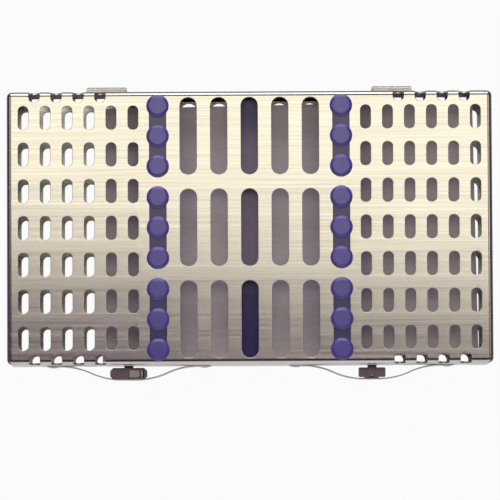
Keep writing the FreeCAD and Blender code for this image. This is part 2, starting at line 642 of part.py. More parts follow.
def latch_spring(side, sign):
    """Bow of spring strip: a flat crest, an S of two equal arcs each side and a flat foot each end."""
    name = f"Spring{side}"
    body = doc.addObject("PartDesign::Body", name)
    run = "(Sizes.spring_half - Sizes.spring_flat / 2)"
    rise = "(Sizes.spring_reach - Sizes.spring_thickness)"
    bend = f"(({run} ^ 2 + {rise} ^ 2) / (4 * {rise}))"
    slope = f"asin({run} / 2 / {bend})"
    half = "(Sizes.spring_thickness / 2)"
    end = "(Sizes.spring_half + Sizes.spring_foot)"

    def middle(x_sign, outward):
        x = f"{x_sign} * ((Sizes.spring_half + Sizes.spring_flat / 2) / 2 + {outward} * {half} * sin({slope}))"
        y = f"-({half} + {rise} / 2 + {outward} * {half} * cos({slope}))"
        return x, y

    outer = [
        (f"-{end}", "-Sizes.spring_thickness"), ("-Sizes.spring_half", "-Sizes.spring_thickness"),
        middle(-1, 1), ("-Sizes.spring_flat / 2", "-Sizes.spring_reach"),
        ("Sizes.spring_flat / 2", "-Sizes.spring_reach"), middle(1, 1),
        ("Sizes.spring_half", "-Sizes.spring_thickness"), (end, "-Sizes.spring_thickness"),
    ]
    inner = [
        (end, "0"), ("Sizes.spring_half", "0"), middle(1, -1), ("Sizes.spring_flat / 2", f"-{rise}"),
        ("-Sizes.spring_flat / 2", f"-{rise}"), middle(-1, -1), ("-Sizes.spring_half", "0"), (f"-{end}", "0"),
    ]
    tight = f"({bend} - {half})"
    wide = f"({bend} + {half})"
    arcs = {1: (tight, False), 2: (wide, True), 4: (wide, True), 5: (tight, False),
            9: (wide, True), 10: (tight, False), 12: (tight, False), 13: (wide, True)}
    profile = sketch_on(body, f"{name}Profile", "XY_Plane")
    draw(profile, outer + inner, arcs)
    strip = extrude(body, "Pad", profile, "Sizes.spring_width")
    hole = sketch_on(body, f"{name}Hole", "XZ_Plane")
    circle(hole, "(Sizes.rivet_diameter + 2 * Sizes.rivet_play)", RIVET_X, "Sizes.spring_width / 2")
    drilled = extrude(body, "Pocket", hole, "2 * Sizes.spring_thickness", reverse=True)
    holes = repeat(body, [drilled], f"{name}Holes", mirrors=["YZ_Plane"])
    cut_checked(holes, strip)
    keep(body, f"latch_spring_{side.lower()}", x=f"{sign} * Sizes.latch_x", y=FRONT, z=SPRING_BOTTOM)


def latch_tongue(side, sign):
    """Flat T whose neck enters the lid's window, bent down behind the crest of the spring."""
    name = f"Tongue{side}"
    body = doc.addObject("PartDesign::Body", name)
    neck = "(Sizes.neck_width / 2)"
    half = "(Sizes.tongue_width / 2)"
    outline = sketch_on(body, f"{name}Outline", "XY_Plane")
    draw(outline, [
        (f"-{half}", f"-{TAB_OUTER}"), (half, f"-{TAB_OUTER}"),
        (half, "-Sizes.shoulder_standoff"), (neck, "-Sizes.shoulder_standoff"),
        (neck, "-Sizes.neck_standoff"), (f"-{neck}", "-Sizes.neck_standoff"),
        (f"-{neck}", "-Sizes.shoulder_standoff"), (f"-{half}", "-Sizes.shoulder_standoff")])
    plate = extrude(body, "Pad", outline, "Sizes.tongue_thickness")
    reach = value(half)
    round_edges(body, plate, "Sizes.tongue_corner",
                lambda edge: is_upright(edge) and abs(abs(edge.Vertexes[0].X) - reach) < 1e-6,
                f"{name}Corners")
    tab = sketch_on(body, f"{name}Tab", "XY_Plane")
    draw(tab, rectangle("-Sizes.tab_width / 2", "Sizes.tab_width / 2", f"-{TAB_OUTER}",
                        f"-{TAB_OUTER} + Sizes.tab_thickness"))
    bent = extrude(body, "Pad", tab, TAB_DROP, reverse=True)
    nick = sketch_on(body, f"{name}Nick", "XY_Plane", "-Sizes.tongue_thickness")
    circle(nick, "Sizes.tongue_notch", "0", f"-{TAB_OUTER}")
    nicked = extrude(body, "Pocket", nick, "3 * Sizes.tongue_thickness", reverse=True)
    cut_checked(nicked, bent)
    keep(body, f"latch_tongue_{side.lower()}", x=f"{sign} * Sizes.latch_x", y=FRONT, z=TONGUE_BOTTOM)


def latch_grip_left():
    """Folded grip that straddles the left tongue, with a shallow window in the right of its roof."""
    body = doc.addObject("PartDesign::Body", "Grip")
    top = "(Sizes.tongue_thickness + Sizes.fit + Sizes.grip_roof)"
    outline = sketch_on(body, "GripOutline", "XY_Plane")
    draw(outline, rectangle("-Sizes.grip_width / 2", "Sizes.grip_width / 2",
                            "-Sizes.spring_reach", "-Sizes.shoulder_standoff"))
    block = extrude(body, "Pad", outline, top)
    rounded = round_edges(body, block, "Sizes.grip_corner", is_upright, "GripCorners")
    channel = sketch_on(body, "GripChannel", "XZ_Plane", f"Sizes.spring_reach + {OVERRUN}")
    draw(channel, rectangle("-Sizes.tongue_width / 2 - Sizes.fit", "Sizes.tongue_width / 2 + Sizes.fit",
                            f"-{OVERRUN}", "Sizes.tongue_thickness + Sizes.fit"))
    hollow = extrude(body, "Pocket", channel, f"Sizes.spring_reach + 2 * {OVERRUN}")
    cut_checked(hollow, rounded)
    middle = "(Sizes.spring_reach + Sizes.shoulder_standoff) / 2"
    window = sketch_on(body, "GripWindow", "XY_Plane", top)
    draw(window, rectangle("Sizes.grip_width / 2 - Sizes.grip_corner - Sizes.grip_window_width",
                           "Sizes.grip_width / 2 - Sizes.grip_corner",
                           f"-{middle} - Sizes.grip_window_depth / 2",
                           f"-{middle} + Sizes.grip_window_depth / 2"))
    sunk = extrude(body, "Pocket", window, "Sizes.grip_window_sink")
    cut_checked(sunk, hollow)
    keep(body, "latch_grip_left", x="-Sizes.latch_x", y=FRONT, z=TONGUE_BOTTOM)


def latch_rivets():
    """Four rivets that hold the feet of the springs on the front wall."""
    rivets = []
    for side, side_sign in (("Left", -1), ("Right", 1)):
        for end, end_sign in (("First", -1), ("Last", 1)):
            name = f"Rivet{side}{end}"
            shank = stub(f"{name}Shank", "-Sizes.spring_thickness", "Sizes.rivet_diameter",
                         "Sizes.spring_thickness + Sizes.sheet")
            head = stub(f"{name}Head", "-Sizes.spring_thickness - Sizes.rivet_head_height",
                        "Sizes.rivet_head", "Sizes.rivet_head_height")
            tail = stub(f"{name}Tail", "Sizes.sheet", "Sizes.rivet_head", "Sizes.rivet_head_height")
            rivet = doc.addObject("Part::MultiFuse", name)
            rivet.Shapes = [shank, head, tail]
            rivet.setExpression("Placement.Base.x", f"{side_sign} * Sizes.latch_x + {end_sign} * {RIVET_X}")
            rivets.append(rivet)
    group = doc.addObject("Part::Compound", "LatchRivets")
    group.Links = rivets
    keep(group, "latch_rivets", y=FRONT, z=RIVET_Z)


base_tray()
lid_shell()
centre_bar()
centre_sleeve()
insert_card()
latch_grip_left()
latch_rivets()
for side, sign in (("Left", -1), ("Right", 1)):
    base_rail(side, sign)
    lid_strip(side, sign)
    hinge_leaf("Base", side, sign, up=-1, first=0, count=3)
    hinge_leaf("Lid", side, sign, up=1, first=1, count=2)
    hinge_pin(side, sign)
    latch_spring(side, sign)
    latch_tongue(side, sign)

doc.recompute()
failed = [item.Name for item in doc.Objects if "Invalid" in item.State or "Error" in item.State]
failed += [part.Label for part in SUB_PARTS if part.Shape.isNull() or not part.Shape.isValid()]
if failed:
    raise ValueError(f"these did not build: {failed}")

os.makedirs("parts", exist_ok=True)
for part in SUB_PARTS:
    part.Shape.exportStep(f"parts/{part.Label}.step")
    box_of = part.Shape.BoundBox
    print(f"{part.Label:24s} {len(part.Shape.Solids):2d} {part.Shape.Volume:10.2f}"
          f"  x {box_of.XMin:8.2f} {box_of.XMax:8.2f}  y {box_of.YMin:8.2f} {box_of.YMax:8.2f}"
          f"  z {box_of.ZMin:7.2f} {box_of.ZMax:7.2f}")
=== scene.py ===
import json
import math

import bmesh
import bpy
from mathutils import Matrix, Quaternion, Vector


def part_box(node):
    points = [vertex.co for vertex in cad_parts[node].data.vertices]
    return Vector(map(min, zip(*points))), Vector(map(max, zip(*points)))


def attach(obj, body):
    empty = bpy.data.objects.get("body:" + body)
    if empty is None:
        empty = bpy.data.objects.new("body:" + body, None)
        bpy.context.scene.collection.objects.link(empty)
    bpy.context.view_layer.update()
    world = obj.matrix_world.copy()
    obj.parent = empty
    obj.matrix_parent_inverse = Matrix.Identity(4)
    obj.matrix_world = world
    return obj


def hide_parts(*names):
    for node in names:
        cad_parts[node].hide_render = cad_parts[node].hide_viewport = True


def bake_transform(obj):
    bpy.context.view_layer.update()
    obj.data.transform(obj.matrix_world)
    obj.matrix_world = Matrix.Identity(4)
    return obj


# Perforated steel cassette for small surgical instruments, seen from above with its lid shut.
# Sizes are in millimetres, as in the part, and meshes are scaled to metres when they are finished.
# The camera, the floor, the lamps and the finishes are in metres.

MM = 0.001

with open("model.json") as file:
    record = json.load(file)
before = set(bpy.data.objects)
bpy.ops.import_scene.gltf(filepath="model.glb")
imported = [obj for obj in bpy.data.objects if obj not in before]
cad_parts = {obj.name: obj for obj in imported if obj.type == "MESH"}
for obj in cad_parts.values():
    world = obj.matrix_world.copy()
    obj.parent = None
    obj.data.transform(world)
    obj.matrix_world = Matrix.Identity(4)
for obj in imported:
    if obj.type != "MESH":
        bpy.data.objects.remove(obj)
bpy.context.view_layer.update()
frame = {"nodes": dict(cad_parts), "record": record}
NODES = frame["nodes"]


def box_mm(node):
    low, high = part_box(node)
    return low / MM, high / MM


LID_LOW, LID_HIGH = box_mm("lid_shell")
BASE_LOW, BASE_HIGH = box_mm("base_tray")
CENTRE_Y = (LID_LOW.y + LID_HIGH.y) / 2
HALF_X = (LID_HIGH.x - LID_LOW.x) / 2
HALF_Y = (LID_HIGH.y - LID_LOW.y) / 2

# sheet
SHEET = 0.9
RIM = 0.22
BEND = 2.0
CORNER = 2.2
BEND_STEPS = 8
CORNER_STEPS = 8

# slots
SMALL_WIDTH, SMALL_LENGTH = 4.3, 10.0
SMALL_FIRST, SMALL_PITCH_X, SMALL_PITCH_Y = 48.7, 9.2, 15.4
SMALL_COLUMNS, SMALL_ROWS = 6, 7
LONG_WIDTH, LONG_LENGTH = 7.0, 32.4
LONG_PITCH_X, LONG_PITCH_Y = 12.8, 38.4
LONG_COLUMNS, LONG_ROWS = 7, 3
NOTCH_WIDTH, NOTCH_FIRST, NOTCH_PITCH, NOTCHES = 4.5, 62.5, 9.2, 4
NOTCH_REACH, NOTCH_DROP = 4.5, 6.0

# silicone retainers
HEAD_RADIUS, HEAD_HEIGHT, HEAD_PITCH, HEADS = 4.725, 1.0, 12.7, 3
HEAD_FLAT, HEAD_BEVEL, HEAD_SHOULDER = 3.55, 4.5, 0.4
HEAD_LIP, HEAD_CROWN = 0.25, 0.03
HEAD_SIDES, BAR_STEPS = 40, 12
BAR_RECESS = 0.5
FIT = 0.05
PAD_WIDTH, PAD_CORNER, PAD_OVERHANG, LID_PAD, BASE_PAD = 12.0, 1.0, 0.35, 2.0, 3.0
RIB_ROOT, RIB_TIP, RIB_EASE = 6.0, 3.5, 0.6
FINGER_WIDTH, FINGER_EASE, FINGER_GAP, GAP_BOTTOM = 8.0, 1.0, 6.6, 6.5
PAD_HALF = (LONG_PITCH_Y * (LONG_ROWS - 1) + LONG_LENGTH) / 2 + PAD_OVERHANG

# latches
LATCH_X = 51.0
WINDOW_HALF, WINDOW_LOW, WINDOW_HIGH = 2.3, 20.2, 22.0
RIVET_OFFSET, RIVET_HEIGHT, RIVET_HOLE = 31.75, 12.1, 1.05
RIVET_HEAD, RIVET_SHANK, RIVET_SIDES = 1.9, 1.0, 24
RIVET_DOME = ((0.0, 0.0), (0.1, 0.16), (0.55, 0.36), (1.3, 0.45))
SPRING_REACH, SPRING_SHEET, SPRING_FLAT, SPRING_HALF, SPRING_FOOT = 6.1, 0.45, 6.4, 29.0, 5.5
SPRING_STEPS = 14
GRIP_BACK, GRIP_CHAMFER = 0.2, 1.3
GRIP_WINDOW_START, GRIP_WINDOW_MARGIN, GRIP_WINDOW_RAIL, GRIP_WINDOW_SINK = 0.2, 1.35, 0.8, 1.05
NECK_HALF, TONGUE_SHEET = 1.9, 1.0
TAB_HALF, TAB_SHEET = 3.0, 0.8
FOLD_RADIUS, FOLD_SHEET, FOLD_PLAY, FOLD_LIFT = 0.8, 0.35, 0.1, 0.15

# rounding of sharp edges
BAR_EASE, MOULDING_EASE, STRIP_EASE, GRIP_EASE = 0.1, 0.12, 0.16, 0.15
EASE_ANGLE = 35

# camera, in metres and degrees
AIM = Vector((0.00007, -0.00796, 0.03075))
ELEVATION, ROLL, DISTANCE = 86.6, 0.28, 1.9
SENSOR, VIEW_WIDTH, NEAREST = 36.0, 0.2090, 0.05

# floor in metres, and room: its ramp runs from the horizon to the zenith
FLOOR_HALF, FLOOR_DROP = 2.0, 0.00005
FLOOR_GLOW = 0.96
TABLE_GLOW, TABLE_HALF = 0.6, 0.115
ROOM_LOW, ROOM_HIGH = (0.03, 0.018, 0.036), (0.10, 0.064, 0.105)
ROOM_RAMP_START, ROOM_RAMP_END = 0.2, 0.9

# middle range of a noise texture, which colours and roughness are spread over
NOISE_LOW, NOISE_HIGH = 0.3, 0.7

# relief of steel, silicone and card, in metres
STEEL_GRAIN, SILICONE_GRAIN, CARD_GRAIN = 0.00002, 0.00003, 0.00004

# painted shade along the bends, for the dark room they reflect: start and end past the plate's edge, share
# that is fully dark, and its colour
BEND_SHADE_START, BEND_SHADE_END, BEND_SHADE_FULL, BEND_SHADE_COLOUR = 0.0, 0.62, 0.4, (0.2, 0.16, 0.2)

# painted sheen on the middle sleeve, for the lamps it reflects: place along Y in metres, and colour
SHEEN_MIDDLE, SHEEN_HALF, SHEEN_FADE, SHEEN_COLOUR = 0.011, 0.024, 0.014, (0.27, 0.205, 0.37)


class Finish:
    """A procedural material: a Principled shader and the nodes that feed it."""

    def __init__(self, name, metallic=0.0):
        self.name = name
        self.material = bpy.data.materials.new(name)
        self.material.use_nodes = True
        self.tree = self.material.node_tree
        self.shader = self.tree.nodes["Principled BSDF"]
        self.shader.inputs["Metallic"].default_value = metallic
        self.place = self.tree.nodes.new("ShaderNodeTexCoord").outputs["Object"]

    def noise(self, scale, stretch=(1, 1, 1), detail=3.0):
        """Noise of scale per metre, drawn out along the axes where stretch is under 1."""
        mapping = self.tree.nodes.new("ShaderNodeMapping")
        mapping.inputs["Scale"].default_value = stretch
        self.tree.links.new(self.place, mapping.inputs["Vector"])
        noise = self.tree.nodes.new("ShaderNodeTexNoise")
        noise.inputs["Scale"].default_value = scale
        noise.inputs["Detail"].default_value = detail
        self.tree.links.new(mapping.outputs["Vector"], noise.inputs["Vector"])
        return noise.outputs["Fac"]

    def level(self, source, low, high):
        """The source's middle range spread from low to high."""
        span = self.tree.nodes.new("ShaderNodeMapRange")
        span.inputs["From Min"].default_value = NOISE_LOW
        span.inputs["From Max"].default_value = NOISE_HIGH
        span.inputs["To Min"].default_value = low
        span.inputs["To Max"].default_value = high
        self.tree.links.new(source, span.inputs["Value"])
        return span.outputs["Result"]

    def fade(self, source, none, full):
        """0 where the source is none and 1 where it is full."""
        span = self.tree.nodes.new("ShaderNodeMapRange")
        span.inputs["From Min"].default_value = none
        span.inputs["From Max"].default_value = full
        self.tree.links.new(source, span.inputs["Value"])
        return span.outputs["Result"]

    def maths(self, operation, first, second):
        """Output of a maths node on a socket and a socket or number."""
        node = self.tree.nodes.new("ShaderNodeMath")
        node.operation = operation
        self.tree.links.new(first, node.inputs[0])
        if isinstance(second, (int, float)):
            node.inputs[1].default_value = second
        else:
            self.tree.links.new(second, node.inputs[1])
        return node.outputs["Value"]

    def across(self):
        """Sockets for the place along X and Y."""
        parts = self.tree.nodes.new("ShaderNodeSeparateXYZ")
        self.tree.links.new(self.place, parts.inputs["Vector"])
        return parts.outputs["X"], parts.outputs["Y"]

    def painted_bend_shade(self):
        """Painted shade: dark line along the start of the bends round the plate, standing in for the dark
        room that they reflect.
        """
        x, y = self.across()
        past_x = self.maths("SUBTRACT", self.maths("ABSOLUTE", x, 0), (HALF_X - BEND) * MM)
        from_middle = self.maths("SUBTRACT", y, CENTRE_Y * MM)
        past_y = self.maths("SUBTRACT", self.maths("ABSOLUTE", from_middle, 0), (HALF_Y - BEND) * MM)
        past = self.maths("MAXIMUM", past_x, past_y)
        middle, half = (BEND_SHADE_START + BEND_SHADE_END) / 2 * MM, (BEND_SHADE_END - BEND_SHADE_START) / 2 * MM
        aside = self.maths("ABSOLUTE", self.maths("SUBTRACT", past, middle), 0)
        self.over(self.fade(aside, half, half * BEND_SHADE_FULL), BEND_SHADE_COLOUR, "MULTIPLY")

    def over(self, share, colour, blend="MIX"):
        """Lay a colour over the shader's base colour by share."""
        mix = self.tree.nodes.new("ShaderNodeMix")
        mix.data_type = "RGBA"
        mix.blend_type = blend
        self.tree.links.new(share, mix.inputs["Factor"])
        below = self.shader.inputs["Base Color"].links[0].from_socket
        self.tree.links.new(below, mix.inputs["A"])
        mix.inputs["B"].default_value = (*colour, 1)
        self.tree.links.new(mix.outputs["Result"], self.shader.inputs["Base Color"])

    def roughness(self, source, low, high):
        self.tree.links.new(self.level(source, low, high), self.shader.inputs["Roughness"])

    def colour(self, source, dark, light):
        """Colour between dark and light by source."""
        ramp = self.tree.nodes.new("ShaderNodeValToRGB")
        ramp.color_ramp.elements[0].position = NOISE_LOW
        ramp.color_ramp.elements[0].color = (*dark, 1)
        ramp.color_ramp.elements[1].position = NOISE_HIGH
        ramp.color_ramp.elements[1].color = (*light, 1)
        self.tree.links.new(source, ramp.inputs["Fac"])
        self.tree.links.new(ramp.outputs["Color"], self.shader.inputs["Base Color"])

    def bump(self, source, depth, strength):
        """Relief of depth metres."""
        bump = self.tree.nodes.new("ShaderNodeBump")
        bump.inputs["Distance"].default_value = depth
        bump.inputs["Strength"].default_value = strength
        self.tree.links.new(source, bump.inputs["Height"])
        self.tree.links.new(bump.outputs["Normal"], self.shader.inputs["Normal"])


def brushed(name, dark, light, rough, strength=0.35, metallic=1.0):
    """Steel brushed along X."""
    finish = Finish(name, metallic)
    streaks = finish.noise(2600, stretch=(0.006, 1, 1))
    finish.colour(streaks, dark, light)
    finish.roughness(finish.noise(900, stretch=(0.02, 1, 1)), *rough)
    finish.bump(streaks, STEEL_GRAIN, strength)
    return finish


def sheet_steel():
    finish = brushed("sheet_steel", (0.72, 0.71, 0.69), (0.84, 0.83, 0.81), (0.2, 0.28), 0.25)
    # painted shade along the bends, where they reflect the dark room
    finish.painted_bend_shade()
    return finish


def tumbled(name, dark, light, rough):
    """Steel with an even, fine grain."""
    finish = Finish(name, metallic=1.0)
    grain = finish.noise(1800)
    finish.colour(grain, dark, light)
    finish.roughness(finish.noise(350), *rough)
    finish.bump(grain, STEEL_GRAIN, 0.2)
    return finish


def silicone(name, dark, light, shine=1.0):
    """Satin silicone."""
    finish = Finish(name)
    finish.shader.inputs["Specular IOR Level"].default_value = shine
    finish.colour(finish.noise(260), dark, light)
    finish.roughness(finish.noise(700), 0.28, 0.36)
    finish.bump(finish.noise(2400), SILICONE_GRAIN, 0.25)
    return finish


def sleeve():
    """Dark silicone of the middle sleeve, painted with shade towards its ends and a lighter painted sheen
    round its middle.
    """
    finish = silicone("sleeve_silicone_shade_and_sheen", (0.03, 0.018, 0.20), (0.036, 0.024, 0.23), shine=0.6)
    away = finish.maths("ABSOLUTE", finish.maths("SUBTRACT", finish.across()[1], SHEEN_MIDDLE), 0)
    finish.over(finish.fade(away, SHEEN_HALF + SHEEN_FADE, SHEEN_HALF), SHEEN_COLOUR)
    return finish


def card_stock():
    finish = Finish("card")
    fibres = finish.noise(700, stretch=(0.35, 1, 1), detail=6.0)
    finish.colour(fibres, (0.88, 0.81, 0.87), (0.97, 0.90, 0.96))
    finish.roughness(finish.noise(300), 0.7, 0.85)
    finish.bump(fibres, CARD_GRAIN, 0.3)
    return finish


FINISHES = (
    sheet_steel(),
    tumbled("plain_steel", (0.50, 0.49, 0.48), (0.62, 0.61, 0.60), (0.32, 0.45)),
    brushed("spring_steel", (0.92, 0.91, 0.90), (0.98, 0.97, 0.96), (0.3, 0.4), metallic=0.3),
    # dark_steel: steel of the latches, darkened and tinted purple as painted shade for their place under
    # the lid's edge
    tumbled("dark_steel", (0.21, 0.17, 0.205), (0.29, 0.245, 0.28), (0.35, 0.48)),
    silicone("silicone", (0.105, 0.08, 0.45), (0.12, 0.095, 0.50)),
    # darker copy of the silicone for the sunk bars: painted shade of their recess
    silicone("silicone_bar_shaded", (0.045, 0.032, 0.20), (0.055, 0.04, 0.23)),
    sleeve(),
    card_stock(),
)
MATERIALS = {finish.name: finish.material for finish in FINISHES}


def shade(mesh, sharp_degrees):
    mesh.shade_smooth()
    mesh.set_sharp_from_angle(angle=math.radians(sharp_degrees))


def finished(name, form, slot, sharp_degrees=50, material=None):
    """Object in metres from a bmesh in millimetres, in the slot's own material or in a variant of it."""
    bmesh.ops.recalc_face_normals(form, faces=form.faces)
    bmesh.ops.scale(form, vec=(MM, MM, MM), verts=form.verts)
    mesh = bpy.data.meshes.new(name)
    form.to_mesh(mesh)
    form.free()
    shade(mesh, sharp_degrees)
    mesh.materials.append(MATERIALS[material or slot])
    made = bpy.data.objects.new(name, mesh)
    bpy.context.collection.objects.link(made)
    return made


def weigh_normals(made):
    """Large flat faces keep their own normal beside narrow rims."""
    weights = made.modifiers.new("weights", "WEIGHTED_NORMAL")
    weights.keep_sharp = True
    return made


def ease_edges(made, width, segments=2):
    """Small rounding along the sharp edges of a moulded or tumbled piece."""
    ease = made.modifiers.new("edges", "BEVEL")
    ease.width = width * MM
    ease.segments = segments
    ease.limit_method = "ANGLE"
    ease.angle_limit = math.radians(EASE_ANGLE)
    return weigh_normals(made)


def arc(x, y, radius, start, end, steps):
    """Points on an arc, angles in degrees."""
    angles = [math.radians(start + (end - start) * n / steps) for n in range(steps + 1)]
    return [(x + radius * math.cos(a), y + radius * math.sin(a)) for a in angles]


def slot_loop(x, low, high, width, steps=10):
    """Upright slot with round ends from low to high."""
    radius = width / 2
    return arc(x, high - radius, radius, 0, 180, steps) + arc(x, low + radius, radius, 180, 360, steps)


def rounded_loop(half_x, half_y, radius, steps):
    loop = []
    for x, y, start in ((1, 1, 0), (-1, 1, 90), (-1, -1, 180), (1, -1, 270)):
        loop += arc(x * (half_x - radius), y * (half_y - radius), radius, start, start + 90, steps)
    return loop


class Pan:
    """Sheet folded from a flat pattern.

    The plate's outer face is at plate_z. It faces up where side is 1, and down where side is -1.
    """

    def __init__(self, plate_z, depth, side):
        self.plate_z = plate_z
        self.side = side
        self.core_x = HALF_X - CORNER
        self.core_y = HALF_Y - CORNER
        self.edge = CORNER - BEND
        self.quarter = BEND * math.pi / 2
        self.flange = self.quarter + depth - BEND

    def unrolled(self, drop):
        """Distance past the core in the flat pattern of a point that far below the plate's outer face."""
        return self.edge + self.quarter + drop - BEND

    def height(self, z):
        """Place across the pattern of a height on the front or back wall."""
        return self.core_y + self.unrolled(abs(self.plate_z - z))

    def outline(self):
        reach = self.edge + self.flange
        return rounded_loop(self.core_x + reach, self.core_y + reach, reach, 20)

    def place(self, point):
        """Where a point of the flat pattern lies on the folded sheet."""
        near_x = max(-self.core_x, min(self.core_x, point.x))
        near_y = max(-self.core_y, min(self.core_y, point.y))
        away = Vector((point.x - near_x, point.y - near_y, 0))
        past = away.length - self.edge
        turn = max(0.0, min(past / BEND, math.pi / 2))
        out = away.normalized() if away.length > 1e-6 else Vector((0, 0, 0))
        reach = away.length if past <= 0 else self.edge + BEND * math.sin(turn)
        drop = BEND * (1 - math.cos(turn)) + max(0.0, past - self.quarter)
        face = Vector((near_x, near_y + CENTRE_Y, self.plate_z - self.side * drop)) + out * reach
        normal = out * math.sin(turn) + Vector((0, 0, self.side * math.cos(turn)))
        return face - normal * (SHEET / 2 - point.z)


def perforations(pan):
    """Loops of all slots and notches in the flat pattern."""
    loops = []
    for row in range(LONG_ROWS):
        y = (row - (LONG_ROWS - 1) / 2) * LONG_PITCH_Y
        for column in range(LONG_COLUMNS):
            x = (column - (LONG_COLUMNS - 1) / 2) * LONG_PITCH_X
            loops.append(slot_loop(x, y - LONG_LENGTH / 2, y + LONG_LENGTH / 2, LONG_WIDTH))
    for side in (-1, 1):
        for column in range(SMALL_COLUMNS):
            x = side * (SMALL_FIRST + column * SMALL_PITCH_X)
            for row in range(SMALL_ROWS):
                y = (row - (SMALL_ROWS - 1) / 2) * SMALL_PITCH_Y
                loops.append(slot_loop(x, y - SMALL_LENGTH / 2, y + SMALL_LENGTH / 2, SMALL_WIDTH))
        for number in range(NOTCHES):
            x = side * (NOTCH_FIRST + number * NOTCH_PITCH)
            near = HALF_Y - NOTCH_REACH
            far = pan.core_y + pan.unrolled(NOTCH_DROP)
            loops.append(slot_loop(x, near, far, NOTCH_WIDTH))
            loops.append(slot_loop(x, -far, -near, NOTCH_WIDTH))
    return loops


def sheet_from(loops):
    """Flat sheet with rounded rims, filled between its outer loop and its holes."""
    curve = bpy.data.curves.new("pattern", "CURVE")
    curve.dimensions = "2D"
    curve.fill_mode = "BOTH"
    curve.extrude = SHEET / 2 - RIM
    curve.bevel_depth = RIM
    curve.bevel_resolution = 2
    curve.offset = -RIM
    for loop in loops:
        spline = curve.splines.new("POLY")
        spline.points.add(len(loop) - 1)
        for point, (x, y) in zip(spline.points, loop):
            point.co = (x, y, 0, 1)
        spline.use_cyclic_u = True
    holder = bpy.data.objects.new("pattern", curve)
    bpy.context.collection.objects.link(holder)
    bpy.context.view_layer.update()
    mesh = bpy.data.meshes.new_from_object(holder.evaluated_get(bpy.context.evaluated_depsgraph_get()))
    form = bmesh.new()
    form.from_mesh(mesh)
    bmesh.ops.remove_doubles(form, verts=form.verts, dist=0.002)
    bpy.data.objects.remove(holder)
    bpy.data.curves.remove(curve)
    bpy.data.meshes.remove(mesh)
    return form


def cut_along(form, faces, point, normal):
    geometry = set(faces)
    for face in faces:
        geometry.update(face.edges)
        geometry.update(face.verts)
    bmesh.ops.bisect_plane(form, geom=list(geometry), dist=1e-4, plane_co=point, plane_no=normal)


def folded(pan, loops):
    """Fold a sheet's pattern into the pan, after cutting it where it will bend."""
    form = sheet_from([pan.outline(), *loops])
    lines = [0.0]
    lines += [pan.edge + pan.quarter * n / BEND_STEPS for n in range(BEND_STEPS + 1)]
    for offset in lines:
        for sign in (-1, 1):
            cut_along(form, form.faces, (sign * (pan.core_x + offset), 0, 0), (1, 0, 0))
            cut_along(form, form.faces, (0, sign * (pan.core_y + offset), 0), (0, 1, 0))
    for x in (-1, 1):
        for y in (-1, 1):
            for step in range(1, CORNER_STEPS):
                angle = math.pi / 2 * step / CORNER_STEPS
                faces = []
                for face in form.faces:
                    middle = face.calc_center_median()
                    if x * middle.x > pan.core_x and y * middle.y > pan.core_y:
                        faces.append(face)
                cut_along(form, faces, (x * pan.core_x, y * pan.core_y, 0),
                          (-x * math.sin(angle), y * math.cos(angle), 0))
    for vert in form.verts:
        vert.co = pan.place(vert.co)
    return form


def lid_sheet():
    pan = Pan(LID_HIGH.z, LID_HIGH.z - LID_LOW.z, 1)
    loops = perforations(pan)
    for side in (-1, 1):
        x = side * LATCH_X
        high, low = -pan.height(WINDOW_HIGH), -pan.height(WINDOW_LOW)
        loops.append([(x - WINDOW_HALF, low), (x + WINDOW_HALF, low),
                      (x + WINDOW_HALF, high), (x - WINDOW_HALF, high)])
    made = weigh_normals(finished("lid_sheet", folded(pan, loops), "sheet_steel"))
    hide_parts("lid_shell")
    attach(made, "lid")


def base_sheet():
    pan = Pan(BASE_LOW.z, BASE_HIGH.z - BASE_LOW.z, -1)
    loops = perforations(pan)
    for side in (-1, 1):
        for end in (-1, 1):
            x = side * LATCH_X + end * RIVET_OFFSET
            loops.append(arc(x, -pan.height(RIVET_HEIGHT), RIVET_HOLE, 0, 360 - 360 / RIVET_SIDES,
                             RIVET_SIDES - 1))
    made = weigh_normals(finished("base_sheet", folded(pan, loops), "sheet_steel"))
    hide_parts("base_tray")
    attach(made, "base")


def prism(form, loop, low, high, at):
    """Solid between two copies of a loop. at(u, v, w) gives the place of a loop point u, v at level w."""
    rings = [[form.verts.new(at(u, v, level)) for u, v in loop] for level in (low, high)]
    form.faces.new(rings[0])
    form.faces.new(rings[1])
    for n in range(len(loop)):
        m = (n + 1) % len(loop)
        form.faces.new((rings[0][n], rings[0][m], rings[1][m], rings[1][n]))


def turned(form, profile, at, sides):
    """Solid turned about an axis. profile holds radius and level; at(u, v, w) places its points."""
    angles = [2 * math.pi * n / sides for n in range(sides)]
    rings = []
    for radius, level in profile:
        circle = [(radius * math.cos(a), radius * math.sin(a)) for a in angles]
        rings.append([form.verts.new(at(u, v, level)) for u, v in circle])
    form.faces.new(rings[0])
    form.faces.new(rings[-1])
    for lower, upper in zip(rings, rings[1:]):
        for n in range(sides):
            m = (n + 1) % sides
            form.faces.new((lower[n], lower[m], upper[m], upper[n]))


def bars(name, x, plate_z, side, body):
    """Bars that fill three long slots, sunk a little under the plate's outer face, in a darker copy of the
    silicone that paints the shade of their recess.
    """
    form = bmesh.new()
    for row in range(LONG_ROWS):
        y = (row - (LONG_ROWS - 1) / 2) * LONG_PITCH_Y
        half = LONG_LENGTH / 2 - FIT
        prism(form, slot_loop(0, y - half, y + half, LONG_WIDTH - 2 * FIT, BAR_STEPS), BAR_RECESS, SHEET,
              lambda u, v, w: (x + u, CENTRE_Y + v, plate_z - side * w))
    made = ease_edges(finished(name, form, "silicone", 40, "silicone_bar_shaded"), BAR_EASE)
    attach(made, body)


